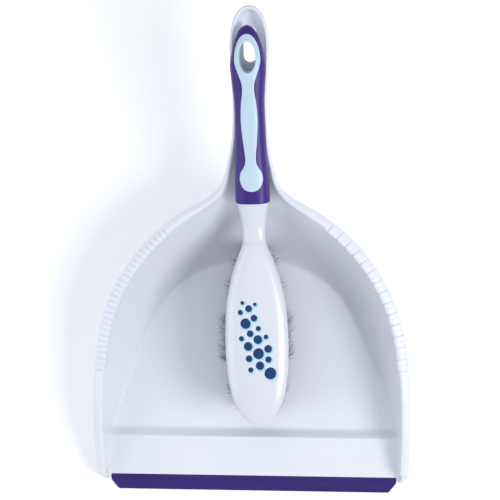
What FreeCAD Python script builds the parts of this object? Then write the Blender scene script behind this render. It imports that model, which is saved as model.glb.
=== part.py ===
import FreeCAD, Part
import math
import os
import Sketcher
from FreeCAD import Placement, Rotation, Vector

# Dust pan with a clip-in hand brush. Millimetres, +Z up.
# X is across the pan, Y runs from the front lip back to the handle, and the
# pan stands on Z = 0 with the middle of its overall box at X = 0, Y = 0.

os.makedirs("parts", exist_ok=True)
doc = FreeCAD.newDocument("dust_pan_set")
sheet = doc.addObject("Spreadsheet::Sheet", "sizes")

DIMENSIONS = [
    # pan moulding
    ("pan_length", 347.0),
    ("wall", 2.0),
    ("floor_level", 2.0),
    ("sole_spare", 1.5),
    ("flange_thick", 1.8),
    ("flange_slope", 0.38),
    ("wall_curve", 1.2),
    ("trough_depth", 12.0),
    ("trough_curve", 2.6),
    ("blend_size", 7.0),
    ("dome_back", 219.0),
    ("corner_radius", 9.0),
    # ramp behind the lip
    ("ramp_front", 11.6),
    ("ramp_top", 41.3),
    ("ramp_back", 46.9),
    ("ramp_height", 9.5),
    ("ramp_start_level", 2.6),
    ("ramp_half", 106.2),
    # tongue that carries the lip
    ("tongue_front", 4.0),
    ("tongue_bottom", 0.6),
    ("tongue_top", 1.7),
    ("tongue_half", 101.0),
    # lip
    ("lip_half", 106.4),
    ("lip_step_half", 104.2),
    ("lip_front_half", 101.5),
    ("lip_step_place", 6.8),
    ("lip_nose", 0.8),
    # hanging slot in the pan handle
    ("slot_width", 9.0),
    ("slot_near", 311.0),
    ("slot_far", 335.0),
    # brush
    ("brush_pivot", 283.0),
    ("brush_rise_angle", 12.0),
    ("brush_skew_angle", 1.73),
    ("head_bend_start", 88.0),
    ("head_bend_slope", 0.1763),
    ("grip_underside", 1.0),
    ("grip_crown", 12.0),
    ("core_ratio", 0.71),
    ("core_half_height", 8.0),
    ("hang_hole_half", 6.0),
    ("hang_hole_long", 21.5),
    ("hang_hole_centre", 31.5),
    ("inlay_deep", 1.6),
    # bristle tufts
    ("tuft_rows", 14),
    ("tuft_first", -216.5),
    ("tuft_pitch", 8.3),
    ("tuft_spacing", 8.6),
    ("tuft_root", 2.1),
    ("tuft_tip", 3.5),
    ("tuft_hole_deep", 8.0),
    ("tuft_hole_spare", 0.05),
    ("tuft_length", 42.0),
    ("tuft_edge_margin", 4.6),
    ("tip_clearance", 0.8),
    ("staple_thick", 0.5),
    ("staple_high", 0.8),
    ("staple_long", 3.8),
]

# Stations along the pan: place, half width of the rim, height of the rim and
# width of the flange, front corner to the end of the handle.
PAN_STATIONS = [
    (8.6, 114.4, 9.5, 6.5),
    (28.0, 115.0, 22.0, 6.5),
    (49.0, 115.0, 31.0, 6.5),
    (72.0, 114.4, 36.8, 6.5),
    (94.0, 112.9, 40.4, 6.5),
    (114.0, 110.5, 43.4, 6.5),
    (133.0, 105.8, 46.1, 6.5),
    (151.0, 98.5, 48.6, 6.5),
    (168.0, 88.5, 51.1, 6.5),
    (183.0, 76.7, 53.6, 6.5),
    (196.0, 63.0, 56.2, 6.3),
    (207.0, 47.8, 58.4, 5.8),
    (216.0, 31.4, 60.2, 4.8),
    (225.0, 21.4, 62.1, 3.6),
    (237.0, 16.9, 64.6, 2.8),
    (257.0, 12.9, 68.8, 2.4),
    (281.0, 11.9, 73.9, 2.4),
    (302.0, 13.0, 78.4, 2.4),
    (319.0, 13.7, 82.0, 2.4),
    (331.0, 12.8, 84.5, 2.4),
    (340.0, 10.7, 86.4, 2.4),
    (347.0, 5.2, 87.9, 2.2),
]

# The flat floor of the pan: half width and place, front to back.
FLOOR_OUTLINE = [
    (106.8, -12.0),
    (106.3, 18.0),
    (104.0, 47.0),
    (97.8, 71.0),
    (89.0, 95.0),
    (72.5, 131.0),
    (61.0, 148.0),
    (42.0, 162.5),
    (20.0, 170.0),
    (0.0, 172.0),
]

# Head and neck of the brush: place along the handle line, half width, height
# above the spine and depth below it, tip of the head to the end of the grip.
HEAD_STATIONS = [
    (-226.3, 2.2, 2.2, 3.4),
    (-225.0, 6.0, 3.4, 4.8),
    (-222.2, 9.7, 4.6, 6.0),
    (-216.4, 14.2, 5.7, 6.8),
    (-208.0, 18.0, 6.4, 7.0),
    (-198.0, 20.3, 6.8, 7.0),
    (-185.0, 21.8, 7.1, 7.0),
    (-170.0, 22.3, 7.2, 7.0),
    (-155.0, 21.9, 7.2, 7.0),
    (-144.0, 21.0, 7.2, 7.0),
    (-132.0, 18.9, 7.1, 7.0),
    (-119.0, 15.6, 7.0, 6.8),
    (-109.0, 11.9, 6.9, 6.4),
    (-101.5, 8.9, 6.6, 6.0),
    (-96.5, 8.0, 5.8, 5.8),
    (-90.0, 8.1, 5.9, 5.8),
    (-82.0, 9.1, 7.4, 6.0),
    (-75.0, 10.4, 9.3, 6.4),
    (-69.5, 11.7, 11.0, 7.0),
]

# Soft grip: place along the handle line and half width.
GRIP_STATIONS = [
    (-69.5, 12.1),
    (-60.0, 12.0),
    (-48.0, 11.6),
    (-26.0, 10.9),
    (0.0, 10.6),
    (12.0, 11.4),
    (25.0, 12.4),
    (35.0, 10.9),
    (42.0, 9.0),
    (48.0, 6.2),
    (52.0, 2.6),
]

# Pale inlay on the grip: place along the handle line and half width.
INLAY_OUTLINE = [
    (-61.3, 0.0),
    (-60.2, 4.2),
    (-57.0, 7.0),
    (-52.8, 8.25),
    (-48.2, 7.6),
    (-45.0, 5.6),
    (-42.0, 4.2),
    (-38.5, 3.7),
    (-33.0, 4.1),
    (-26.0, 4.9),
    (-17.0, 5.6),
    (-9.0, 5.9),
    (0.0, 5.3),
    (8.0, 4.2),
    (13.5, 4.4),
    (19.5, 6.3),
    (26.0, 8.6),
    (31.0, 9.3),
    (38.0, 8.3),
    (44.6, 4.9),
    (47.2, 0.0),
]


def fill_sheet():
    for row, (alias, value) in enumerate(DIMENSIONS, start=1):
        sheet.set("A%d" % row, alias)
        sheet.set("B%d" % row, "%g" % value)
        sheet.setAlias("B%d" % row, alias)
    doc.recompute()


fill_sheet()


def size(alias):
    return float(sheet.get(alias))


def smooth_min(a, b, reach):
    overlap = max(reach - abs(a - b), 0.0) / reach
    return min(a, b) - overlap * overlap * reach / 4.0


def interpolate(table, place, column):
    """Straight-line value of one column of a station table."""
    if place <= table[0][0]:
        return table[0][column]
    for low, high in zip(table, table[1:]):
        if place <= high[0]:
            share = (place - low[0]) / (high[0] - low[0])
            return low[column] + share * (high[column] - low[column])
    return table[-1][column]


def spline(points, periodic=False):
    curve = Part.BSplineCurve()
    curve.interpolate(Points=points, PeriodicFlag=periodic)
    return curve.toShape()


def mirrored_outline(pairs):
    """Open curve through (half width, place) pairs on both sides of the pan."""
    right = [Vector(half, place, 0) for half, place in pairs]
    left = [Vector(-half, place, 0) for half, place in reversed(pairs) if half > 0]
    return spline(right + left)


def pan_outlines():
    """The crease round the flat floor, and the inner edge of the rim closed as a dome."""
    floor_edge = mirrored_outline(FLOOR_OUTLINE)
    dome = [(half - flange, place) for place, half, _, flange in PAN_STATIONS if place < 210.0]
    dome.insert(0, (dome[0][0], -12.0))
    dome.append((24.0, size("dome_back") - 3.0))
    dome.append((0.0, size("dome_back")))
    return floor_edge, mirrored_outline(dome)


FLOOR_EDGE, DOME_EDGE = pan_outlines()


def floor_half(place):
    for (wide, near), (narrow, far) in zip(FLOOR_OUTLINE, FLOOR_OUTLINE[1:]):
        if place <= far:
            share = (place - near) / (far - near)
            return wide + share * (narrow - wide)
    return 0.0


def rim_height(place):
    return interpolate(PAN_STATIONS, place, 2)


def rim_inner(place):
    return interpolate(PAN_STATIONS, place, 1) - interpolate(PAN_STATIONS, place, 3)


def trough_depth(place):
    """The trough runs out to nothing in the rounded end of the handle."""
    run_out = min(max((348.5 - place) / 22.0, 0.0), 1.0)
    return size("trough_depth") * math.sqrt(run_out * (2.0 - run_out))


def inside_height(x, place):
    """Height of the inside surface of the pan and its trough."""
    rim = rim_height(place)
    if abs(x) < floor_half(place):
        rise = 0.0
    elif place >= size("dome_back"):
        rise = 1.0
    else:
        spot = Part.Vertex(x, place, 0)
        to_floor = spot.distToShape(FLOOR_EDGE)[0]
        to_rim = spot.distToShape(DOME_EDGE)[0]
        rise = to_floor / max(to_floor + to_rim, 1e-6)
    wall_top = size("floor_level") + (rim - size("floor_level")) * rise ** size("wall_curve")
    depth = trough_depth(place)
    half = min(rim_inner(place), 15.0 + max(236.0 - place, 0.0) * 0.45)
    trough = rim - depth + depth * (abs(x) / half) ** size("trough_curve")
    if place > 240.0:
        return trough
    return smooth_min(wall_top, trough, size("blend_size"))


def even_points(points, count):
    """The same polyline with its points spaced evenly along it."""
    return Part.makePolygon(points).discretize(Number=count)


def skin_offset(skin, thick, ceiling):
    """The outside of the wall: one point out from each inside point, up to the rim.

    Under the flat floor it lies deeper, and the sole is cut flat afterwards.
    """
    level = size("floor_level")
    outside = [skin[0] - Vector(0, 0, thick + (size("sole_spare") if skin[0].z < level + 1 else 0))]
    for before, here, after in zip(skin, skin[1:], skin[2:]):
        along = after - before
        depth = thick + (size("sole_spare") if here.z < level + 1 else 0)
        out = here + Vector(along.z, 0, -along.x).normalize() * depth
        if out.x > outside[-1].x and outside[-1].z - 0.05 <= out.z < ceiling:
            outside.append(out)
    return outside


def pan_section(station, points=15, dense=60):
    """Inside and outside of the pan wall at one station, and the corners of the flange."""
    place, half, rim, flange = station
    inner = half - flange
    walk = [Vector(inner * k / dense, place, inside_height(inner * k / dense, place)) for k in range(dense)]
    walk.append(Vector(inner, place, rim))
    ahead = inside_height(0.0, min(place + 3.0, 347.0))
    behind = inside_height(0.0, place - 3.0)
    thick = size("wall") * math.hypot(1.0, (ahead - behind) / 6.0)
    edge_top = Vector(half, place, rim - flange * size("flange_slope"))
    edge_low = edge_top - Vector(0, 0, size("flange_thick"))
    wall_out = min(flange * 0.7, size("wall"))
    wall_head = Vector(inner + wall_out, place, rim - size("flange_thick") - 0.6)
    outside = skin_offset(even_points(walk, dense), thick, wall_head.z - 0.8) + [wall_head]
    return even_points(walk, points), even_points(outside, points), edge_top, edge_low, wall_head


def flip(point):
    return Vector(-point.x, point.y, point.z)


def pan_wire(station):
    inner, outer, edge_top, edge_low, wall_head = pan_section(station)
    inside = [flip(p) for p in reversed(inner[1:])] + inner
    outside = list(reversed(outer)) + [flip(p) for p in outer[1:]]
    edges = [
        Part.makeLine(flip(edge_low), flip(edge_top)),
        Part.makeLine(flip(edge_top), inside[0]),
        spline(inside),
        Part.makeLine(inside[-1], edge_top),
        Part.makeLine(edge_top, edge_low),
        Part.makeLine(edge_low, wall_head),
        spline(outside),
        Part.makeLine(flip(wall_head), flip(edge_low)),
    ]
    return Part.Wire(edges)


def feature(label, shape):
    part_feature = doc.addObject("Part::Feature", label)
    part_feature.Shape = shape
    return part_feature


def boolean(kind, label, base, tool):
    result = doc.addObject(kind, label)
    result.Base = base
    result.Tool = tool
    return result


def block(label, corner, extent):
    """Box from expressions for its corner and its three sides."""
    box = doc.addObject("Part::Box", label)
    for prop, formula in zip(("Length", "Width", "Height"), extent):
        box.setExpression(prop, formula)
    for axis, formula in zip("xyz", corner):
        box.setExpression("Placement.Base." + axis, formula)
    return box


def origin_plane(body, role):
    return next(item for item in body.Origin.OriginFeatures if item.Role == role)


def polygon_sketch(body, label, role, corners):
    """Closed polygon whose corners are bound to formulas of the sheet."""
    sketch = body.newObject("Sketcher::SketchObject", label)
    sketch.AttachmentSupport = (origin_plane(body, role), "")
    sketch.MapMode = "FlatFace"
    values = [tuple(value_of(formula) for formula in corner) for corner in corners]
    spots = [Vector(x, y, 0) for x, y in values]
    for here, there in zip(spots, spots[1:] + spots[:1]):
        sketch.addGeometry(Part.LineSegment(here, there), False)
    for index, corner in enumerate(corners):
        sketch.addConstraint(Sketcher.Constraint("Coincident", index - 1 if index else len(corners) - 1, 2, index, 1))
        for kind, axis, formula, value in zip(("DistanceX", "DistanceY"), (-2, -1), corner, values[index]):
            if abs(value) < 1e-9:
                sketch.addConstraint(Sketcher.Constraint("PointOnObject", index, 1, axis))
            else:
                number = sketch.addConstraint(Sketcher.Constraint(kind, -1, 1, index, 1, value))
                sketch.setExpression("Constraints[%d]" % number, formula)
    return sketch


def value_of(formula):
    """Number that a formula of sheet cells stands for."""
    return float(sheet.evalExpression(formula.replace("sizes.", "")))


def padded(label, role, corners, length):
    """Body with one pad, symmetric about the sketch's plane."""
    body = doc.addObject("PartDesign::Body", label)
    sketch = polygon_sketch(body, label + "_sketch", role, corners)
    pad = body.newObject("PartDesign::Pad", label + "_pad")
    pad.Profile = sketch
    pad.Midplane = True
    pad.setExpression("Length", length)
    body.Tip = pad
    return body


def fused(label, *items):
    result = doc.addObject("Part::MultiFuse", label)
    result.Shapes = list(items)
    return result


def cut(label, base, *tools):
    tool = tools[0] if len(tools) == 1 else fused(label + "_tools", *tools)
    return boolean("Part::Cut", label, base, tool)


# ---------------------------------------------------------------- pan

def make_ramp():
    """Raised ramp behind the lip, its ends sunk in the side walls."""
    return padded("ramp", "YZ_Plane", [
        ("sizes.ramp_front", "sizes.floor_level / 2"),
        ("sizes.ramp_back + 0.7", "sizes.floor_level / 2"),
        ("sizes.ramp_top", "sizes.ramp_height"),
        ("sizes.ramp_front", "sizes.ramp_start_level"),
    ], "2 * sizes.ramp_half")


def make_ramp_hollow():
    return padded("ramp_hollow", "YZ_Plane", [
        ("sizes.ramp_front + 3.6 * sizes.wall", "-1"),
        ("sizes.ramp_back - 1.2 * sizes.wall", "-1"),
        ("sizes.ramp_back - 1.2 * sizes.wall", "sizes.floor_level"),
        ("sizes.ramp_top - sizes.wall / 3", "sizes.ramp_height - 1.1 * sizes.wall"),
        ("sizes.ramp_front + 3.6 * sizes.wall", "sizes.ramp_start_level - 0.9 * sizes.wall + 1"),
    ], "2 * sizes.lip_half - 8")


def make_corner_cutter(side):
    """Rounds the front end of one side wall, seen from above."""
    radius, reach = size("corner_radius"), 0.87 * size("corner_radius")
    half, front = PAN_STATIONS[0][1], PAN_STATIONS[0][0]
    square = Part.makeBox(radius * 2, radius * 2, 60, Vector(half - reach, front + reach - radius * 2, -15))
    disc = Part.makeCylinder(radius, 80, Vector(half - reach, front + reach, -20))
    shape = square.cut(disc)
    if side < 0:
        shape = shape.mirror(Vector(0, 0, 0), Vector(1, 0, 0))
    return feature("corner_cutter_%s" % ("left" if side < 0 else "right"), shape)


def make_slot():
    """Long hole through the handle of the pan, to hang it by."""
    straight = block("slot_middle", ("-sizes.slot_width / 2", "sizes.slot_near + sizes.slot_width / 2", "40"),
                     ("sizes.slot_width", "sizes.slot_far - sizes.slot_near - sizes.slot_width", "70"))
    ends = []
    for name, formula in (("near", "sizes.slot_near + sizes.slot_width / 2"),
                          ("far", "sizes.slot_far - sizes.slot_width / 2")):
        end = doc.addObject("Part::Cylinder", "slot_" + name)
        end.setExpression("Radius", "sizes.slot_width / 2")
        end.Height = 70
        end.setExpression("Placement.Base.y", formula)
        end.setExpression("Placement.Base.z", "40")
        ends.append(end)
    return fused("hang_slot", straight, *ends)


def make_pan():
    shell = feature("pan_shell", Part.makeLoft([pan_wire(s) for s in PAN_STATIONS], True, False))
    below = block("below_sole", ("-150", "-50", "-30"), ("300", "450", "30"))
    lip_room = block("lip_room", ("-sizes.lip_half", "-10", "-1"), ("2 * sizes.lip_half", "10 + sizes.ramp_front", "30"))
    bare = cut("pan_bare", shell, below, lip_room, make_corner_cutter(-1), make_corner_cutter(1), make_slot())
    tongue = block("tongue", ("-sizes.tongue_half", "sizes.tongue_front", "sizes.tongue_bottom"),
                   ("2 * sizes.tongue_half", "sizes.ramp_front - sizes.tongue_front + 4",
                    "sizes.tongue_top - sizes.tongue_bottom"))
    whole = fused("pan_whole", bare, make_ramp(), tongue)
    return cut("pan_body", whole, make_ramp_hollow())


def make_lip():
    """Soft wedge along the front edge, moulded round the tongue of the pan."""
    profile = padded("lip_profile", "YZ_Plane", [
        ("0", "0"),
        ("sizes.ramp_front", "0"),
        ("sizes.ramp_front", "sizes.ramp_start_level"),
        ("0", "sizes.lip_nose"),
    ], "2 * sizes.lip_half")
    plan = padded("lip_plan", "XY_Plane", [
        ("-sizes.lip_half", "sizes.ramp_front"),
        ("-sizes.lip_half + 0.6", "sizes.lip_step_place"),
        ("-sizes.lip_step_half", "sizes.lip_step_place"),
        ("-sizes.lip_front_half", "1.5"),
        ("-sizes.lip_front_half + 2", "0"),
        ("sizes.lip_front_half - 2", "0"),
        ("sizes.lip_front_half", "1.5"),
        ("sizes.lip_step_half", "sizes.lip_step_place"),
        ("sizes.lip_half - 0.6", "sizes.lip_step_place"),
        ("sizes.lip_half", "sizes.ramp_front"),
    ], "20")
    wedge = boolean("Part::Common", "lip_wedge", profile, plan)
    slot = block("tongue_slot", ("-sizes.tongue_half", "sizes.tongue_front", "sizes.tongue_bottom"),
                 ("2 * sizes.tongue_half", "20", "sizes.tongue_top - sizes.tongue_bottom"))
    return cut("pan_lip", wedge, slot)


# ---------------------------------------------------------------- brush

TURN = Rotation(Vector(0, 0, 1), size("brush_skew_angle")).multiply(
    Rotation(Vector(1, 0, 0), size("brush_rise_angle")))
BRUSH = Placement(Vector(0, size("brush_pivot"), rim_height(size("brush_pivot"))), TURN)
HEAD_TILT = math.degrees(math.atan(size("head_bend_slope")))


def spine(place):
    """Height of the brush's middle line: straight in the handle, bent up in the head."""
    past = -place - size("head_bend_start")
    if past <= -10.0:
        return 0.0
    if past < 10.0:
        return size("head_bend_slope") * (past + 10.0) ** 2 / 40.0
    return size("head_bend_slope") * past


def ring(place, half, top, bottom, crown=2.4, base=4.5, count=28):
    """Closed cross-section with a crowned top and a flatter underside."""
    points = []
    for step in range(count):
        angle = 2.0 * math.pi * step / count
        across, upward = math.cos(angle), math.sin(angle)
        power, reach = (crown, top) if upward >= 0 else (base, bottom)
        x = half * math.copysign(abs(across) ** (2.0 / power), across)
        z = reach * math.copysign(abs(upward) ** (2.0 / power), upward)
        points.append(Vector(x, place, spine(place) + z))
    return Part.Wire([spline(points, periodic=True)])


def end_round(place, start=22.0, finish=54.0):
    """1 along the handle, falling like a quarter circle into its end."""
    if place <= start:
        return 1.0
    return math.sqrt(max(1.0 - ((place - start) / (finish - start)) ** 2, 0.0))


def brush_feature(label, shape):
    item = feature(label, shape)
    item.Placement = BRUSH
    return item


def make_core():
    """Hard core of the handle, which the soft grip is moulded over."""
    rings = [ring(-78.0, size("core_ratio") * 11.0, 6.0, 6.0)]
    for place, half in GRIP_STATIONS[:-1]:
        height = size("core_half_height") * end_round(place)
        rings.append(ring(place, size("core_ratio") * half, height, height, base=2.6))
    return brush_feature("handle_core", Part.makeLoft(rings, True, False))


def make_head():
    rings = [ring(*station) for station in HEAD_STATIONS]
    return brush_feature("head_and_neck", Part.makeLoft(rings, True, False))


def grip_ring(place, half, lift=0.0):
    """Domed top over a flat underside that stays above the rims of the trough."""
    low = size("grip_underside")
    crown = (size("grip_crown") - low) * end_round(place)
    arch = []
    for step in range(15):
        angle = math.pi * step / 14.0
        across = math.copysign(abs(math.cos(angle)) ** (2.0 / 2.5), math.cos(angle))
        arch.append(Vector(half * across, place, low + lift + crown * math.sin(angle) ** (2.0 / 2.5)))
    return Part.Wire([spline(arch), Part.makeLine(arch[-1], arch[0])])


def make_grip_block(label, lift=0.0):
    return brush_feature(label, Part.makeLoft([grip_ring(*s, lift) for s in GRIP_STATIONS], True, False))


def make_hang_hole():
    oval = doc.addObject("Part::Ellipse", "hole_outline")
    oval.setExpression("MajorRadius", "sizes.hang_hole_long / 2")
    oval.setExpression("MinorRadius", "sizes.hang_hole_half")
    centre = Placement(Vector(0, size("hang_hole_centre"), -20), Rotation(Vector(0, 0, 1), 90))
    oval.Placement = BRUSH.multiply(centre)
    hole = doc.addObject("Part::Extrusion", "hang_hole")
    hole.Base = oval
    hole.DirMode = "Normal"
    hole.LengthFwd = 50
    hole.Solid = True
    return hole


def make_inlay_prism():
    right = [Vector(half, place, 4) for place, half in INLAY_OUTLINE]
    left = [Vector(-p.x, p.y, p.z) for p in reversed(right[1:-1])]
    face = Part.Face(Part.Wire([spline(right + left, periodic=True)]))
    return brush_feature("inlay_prism", face.extrude(Vector(0, 0, 12)))


def tuft_count(place):
    room = 2.0 * (interpolate(HEAD_STATIONS, place, 1) - size("tuft_edge_margin"))
    return int(room / size("tuft_spacing")) + 1


def tuft_frame(place, count):
    """Placement of the first tuft of a row, at the underside of the head."""
    depth = interpolate(HEAD_STATIONS, place, 3)
    first = Vector(-(count - 1) * size("tuft_spacing") / 2.0, place, spine(place) - depth)
    return BRUSH.multiply(Placement(first, Rotation(Vector(1, 0, 0), -HEAD_TILT)))


def tuft_reach(frame, count):
    """Longest bristle, up to the full length, that stays clear of the pan."""
    reach = size("tuft_length")
    for number in range(count):
        x = number * size("tuft_spacing")
        for edge in (-size("tuft_tip"), 0.0, size("tuft_tip")):
            while reach > 10.0:
                tips = [frame.multVec(Vector(x + edge, y, -reach)) for y in (-size("tuft_tip"), size("tuft_tip"))]
                if all(t.z > inside_height(t.x, t.y) + size("tip_clearance") for t in tips):
                    break
                reach -= 0.25
    return reach


def make_turned_row(label, frame, count, profile):
    """A turned shape repeated across the head, one for each tuft of a row."""
    body = doc.addObject("PartDesign::Body", label)
    body.AllowCompound = True
    sketch = polygon_sketch(body, label + "_profile", "XZ_Plane", profile)
    turned = body.newObject("PartDesign::Revolution", label + "_turned")
    turned.Profile = sketch
    turned.ReferenceAxis = (sketch, ["V_Axis"])
    turned.Angle = 360
    row = body.newObject("PartDesign::LinearPattern", label + "_pattern")
    row.Originals = [turned]
    row.Direction = (sketch, ["H_Axis"])
    row.setExpression("Length", "sizes.tuft_spacing * %d" % (count - 1))
    row.Occurrences = count
    body.Tip = row
    body.Placement = frame
    return body


def make_tuft_row(number, frame, count):
    """One row of bristle tufts across the head, each flared towards its tips."""
    reach = tuft_reach(frame, count)
    return make_turned_row("tuft_row_%02d" % number, frame, count, [
        ("0", "-%.2f" % reach),
        ("sizes.tuft_tip", "-%.2f" % reach),
        ("sizes.tuft_root", "0"),
        ("sizes.tuft_root", "sizes.tuft_hole_deep - sizes.staple_high"),
        ("0", "sizes.tuft_hole_deep - sizes.staple_high"),
    ])


def make_drill_row(number, frame, count):
    """Drill for the blind holes that one row of tufts sits in."""
    return make_turned_row("tuft_drill_%02d" % number, frame, count, [
        ("0", "-2 * sizes.tuft_root"),
        ("sizes.tuft_root + sizes.tuft_hole_spare", "-2 * sizes.tuft_root"),
        ("sizes.tuft_root + sizes.tuft_hole_spare", "sizes.tuft_hole_deep + sizes.tuft_hole_spare"),
        ("0", "sizes.tuft_hole_deep + sizes.tuft_hole_spare"),
    ])


def make_staples(frames):
    """Wire staples that pin the tufts at the bottom of their holes."""
    staples = []
    for frame, count in frames:
        for number in range(count):
            corner = Vector(number * size("tuft_spacing") - size("staple_long") / 2.0, -size("staple_thick") / 2.0,
                            size("tuft_hole_deep") - size("staple_high"))
            staple = Part.makeBox(size("staple_long"), size("staple_thick"), size("staple_high"), corner)
            staple.Placement = frame.multiply(staple.Placement)
            staples.append(staple)
    return feature("tuft_staples", Part.makeCompound(staples))


def make_brush():
    rows, drills, frames = [], [], []
    for number in range(1, int(size("tuft_rows")) + 1):
        place = size("tuft_first") + (number - 1) * size("tuft_pitch")
        count = tuft_count(place)
        frame = tuft_frame(place, count)
        rows.append(make_tuft_row(number, frame, count))
        drills.append(make_drill_row(number, frame, count))
        frames.append((frame, count))
    doc.recompute()
    staples = make_staples(frames)
    drill = doc.addObject("Part::Compound", "tuft_drill")
    drill.Links = drills
    hole = make_hang_hole()
    core = make_core()
    white = fused("head_with_core", make_head(), core)
    drilled = cut("drilled_head", white, drill)
    body = cut("brush_body", drilled, hole)
    outer = make_grip_block("grip_outer")
    prism = make_inlay_prism()
    under_skin = make_grip_block("grip_under_skin", -size("inlay_deep"))
    skin = boolean("Part::Common", "inlay_whole", outer, prism)
    inlay = cut("grip_inlay", skin, under_skin, hole, core)
    grip = cut("brush_grip", outer, core, inlay, hole)
    return [body, grip, inlay, staples] + rows


def check_document():
    for item in doc.Objects:
        if "Invalid" in item.State or "Error" in item.State:
            raise RuntimeError("%s did not recompute: %s" % (item.Label, item.State))


def centre_on_box(nodes):
    """Move every piece back so that the middle of the pan's length is at Y = 0."""
    shift = Placement(Vector(0, -size("pan_length") / 2.0, 0), Rotation())
    for node in nodes:
        node.Placement = shift.multiply(node.Placement)


def export(nodes):
    for node in nodes:
        if node.Shape.isNull() or not node.Shape.isValid():
            raise RuntimeError("%s has no valid shape" % node.Label)
        node.Shape.exportStep("parts/%s.step" % node.Label)
        box = node.Shape.BoundBox
        print("%-14s %2d solids %9.0f mm3  x %.1f..%.1f  y %.1f..%.1f  z %.1f..%.1f" % (
            node.Label, len(node.Shape.Solids), node.Shape.Volume,
            box.XMin, box.XMax, box.YMin, box.YMax, box.ZMin, box.ZMax))


nodes = [make_pan(), make_lip()] + make_brush()
doc.recompute()
check_document()
centre_on_box(nodes)
export(nodes)
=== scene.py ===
import math

import bmesh
import bpy
import numpy as np
from mathutils import Matrix, Vector


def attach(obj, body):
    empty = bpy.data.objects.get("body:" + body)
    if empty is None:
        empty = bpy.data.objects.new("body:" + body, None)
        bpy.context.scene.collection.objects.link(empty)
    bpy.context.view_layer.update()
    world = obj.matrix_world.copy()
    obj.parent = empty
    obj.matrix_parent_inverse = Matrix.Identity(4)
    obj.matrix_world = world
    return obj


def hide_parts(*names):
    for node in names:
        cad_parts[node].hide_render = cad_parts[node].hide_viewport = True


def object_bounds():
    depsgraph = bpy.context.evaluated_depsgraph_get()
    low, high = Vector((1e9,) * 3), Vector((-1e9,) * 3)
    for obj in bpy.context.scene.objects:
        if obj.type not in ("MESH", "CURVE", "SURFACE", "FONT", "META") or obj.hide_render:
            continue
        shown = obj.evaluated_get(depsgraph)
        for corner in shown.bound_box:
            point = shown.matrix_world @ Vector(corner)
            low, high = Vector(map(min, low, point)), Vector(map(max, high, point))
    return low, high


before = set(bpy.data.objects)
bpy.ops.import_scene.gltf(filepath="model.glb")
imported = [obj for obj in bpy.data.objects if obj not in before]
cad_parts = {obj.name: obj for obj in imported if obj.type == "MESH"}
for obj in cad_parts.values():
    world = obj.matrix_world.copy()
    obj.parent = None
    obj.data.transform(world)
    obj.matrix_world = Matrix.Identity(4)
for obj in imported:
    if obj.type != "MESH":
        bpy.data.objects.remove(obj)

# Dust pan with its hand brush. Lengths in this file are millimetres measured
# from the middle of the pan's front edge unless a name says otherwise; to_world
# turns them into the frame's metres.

CAD_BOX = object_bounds()
MM = 0.001
FRONT = CAD_BOX[0][1]

NOISE = np.random.default_rng(11)


def to_world(points):
    """Pan millimetres to the frame's metres."""
    placed = np.asarray(points, dtype=float) * MM
    placed[:, 1] += FRONT
    return placed


# ---------------------------------------------------------------- shape tables
# Rim of the pan: place, half width, height, width of the flange.
RIM = np.array([
    (8.6, 109.4, 8.6, 2.6),
    (9.8, 112.0, 10.0, 4.8),
    (12.5, 114.0, 12.4, 6.2),
    (17.0, 114.9, 15.6, 6.5),
    (28.0, 115.0, 22.0, 6.5),
    (49.0, 115.0, 31.0, 6.5),
    (72.0, 114.4, 36.8, 6.5),
    (94.0, 112.9, 40.4, 6.5),
    (114.0, 110.5, 43.4, 6.5),
    (133.0, 105.8, 46.1, 6.5),
    (151.0, 98.5, 48.6, 6.5),
    (168.0, 88.5, 51.1, 6.5),
    (183.0, 76.7, 53.6, 6.5),
    (196.0, 63.0, 56.2, 6.3),
    (207.0, 47.8, 58.4, 5.8),
    (216.0, 31.4, 60.2, 4.8),
    (225.0, 21.4, 62.1, 3.6),
    (237.0, 16.9, 64.6, 2.8),
    (257.0, 12.9, 68.8, 2.4),
    (281.0, 11.9, 73.9, 2.4),
    (302.0, 13.0, 78.4, 2.4),
    (319.0, 13.7, 82.0, 2.4),
    (330.0, 12.9, 84.3, 2.4),
    (336.6, 11.5, 85.7, 2.4),
    (341.4, 9.5, 86.7, 2.3),
    (344.9, 6.9, 87.4, 2.3),
    (347.0, 3.8, 87.9, 2.2),
    (347.8, 0.0, 88.1, 2.2),
])

FLOOR_LEVEL = 2.0
WALL = 2.0
WALL_CURVE = 1.2
FLANGE_SLOPE = 0.38
DOME_BACK = 219.0
DOME_SIDES_END = 205.0
DOME_CORNER_HALF = 24.0
FLOOR_FRONT = -12.0

# Trough of the handle: its depth, the power of its section, how softly it joins
# the dome, and the places where it starts, runs alone and ends.
TROUGH_DEPTH, TROUGH_CURVE, TROUGH_BLEND = 12.0, 2.6, 7.0
TROUGH_FRONT, TROUGH_ALONE, TROUGH_END = 236.0, 240.0, 349.5
TROUGH_END_ROUND = 22.0
TROUGH_HALF, TROUGH_FLARE = 15.0, 0.45
TROUGH_FADE_FRONT = 140.0

# Ramp behind the lip.
LIP_BACK, LIP_HALF, LIP_BLEND = 11.6, 106.4, 10.0
RAMP_TOP, RAMP_BACK = 41.3, 46.9
RAMP_START, RAMP_HEIGHT = 2.6, 9.5
RAMP_LEVELS = np.array([
    (LIP_BACK, RAMP_START), (RAMP_TOP - 1.5, RAMP_HEIGHT - 0.3), (RAMP_TOP, RAMP_HEIGHT),
    (RAMP_TOP + 1.3, RAMP_HEIGHT - 1.2), (RAMP_BACK - 0.6, FLOOR_LEVEL + 0.5),
    (RAMP_BACK + 1.2, FLOOR_LEVEL),
])

# Flat floor of the pan: half width and place.
FLOOR = [
    (106.8, FLOOR_FRONT), (106.3, 18.0), (104.0, 47.0), (97.8, 71.0), (89.0, 95.0), (72.5, 131.0),
    (61.0, 148.0), (42.0, 162.5), (20.0, 170.0), (0.0, 172.0),
]


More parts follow.
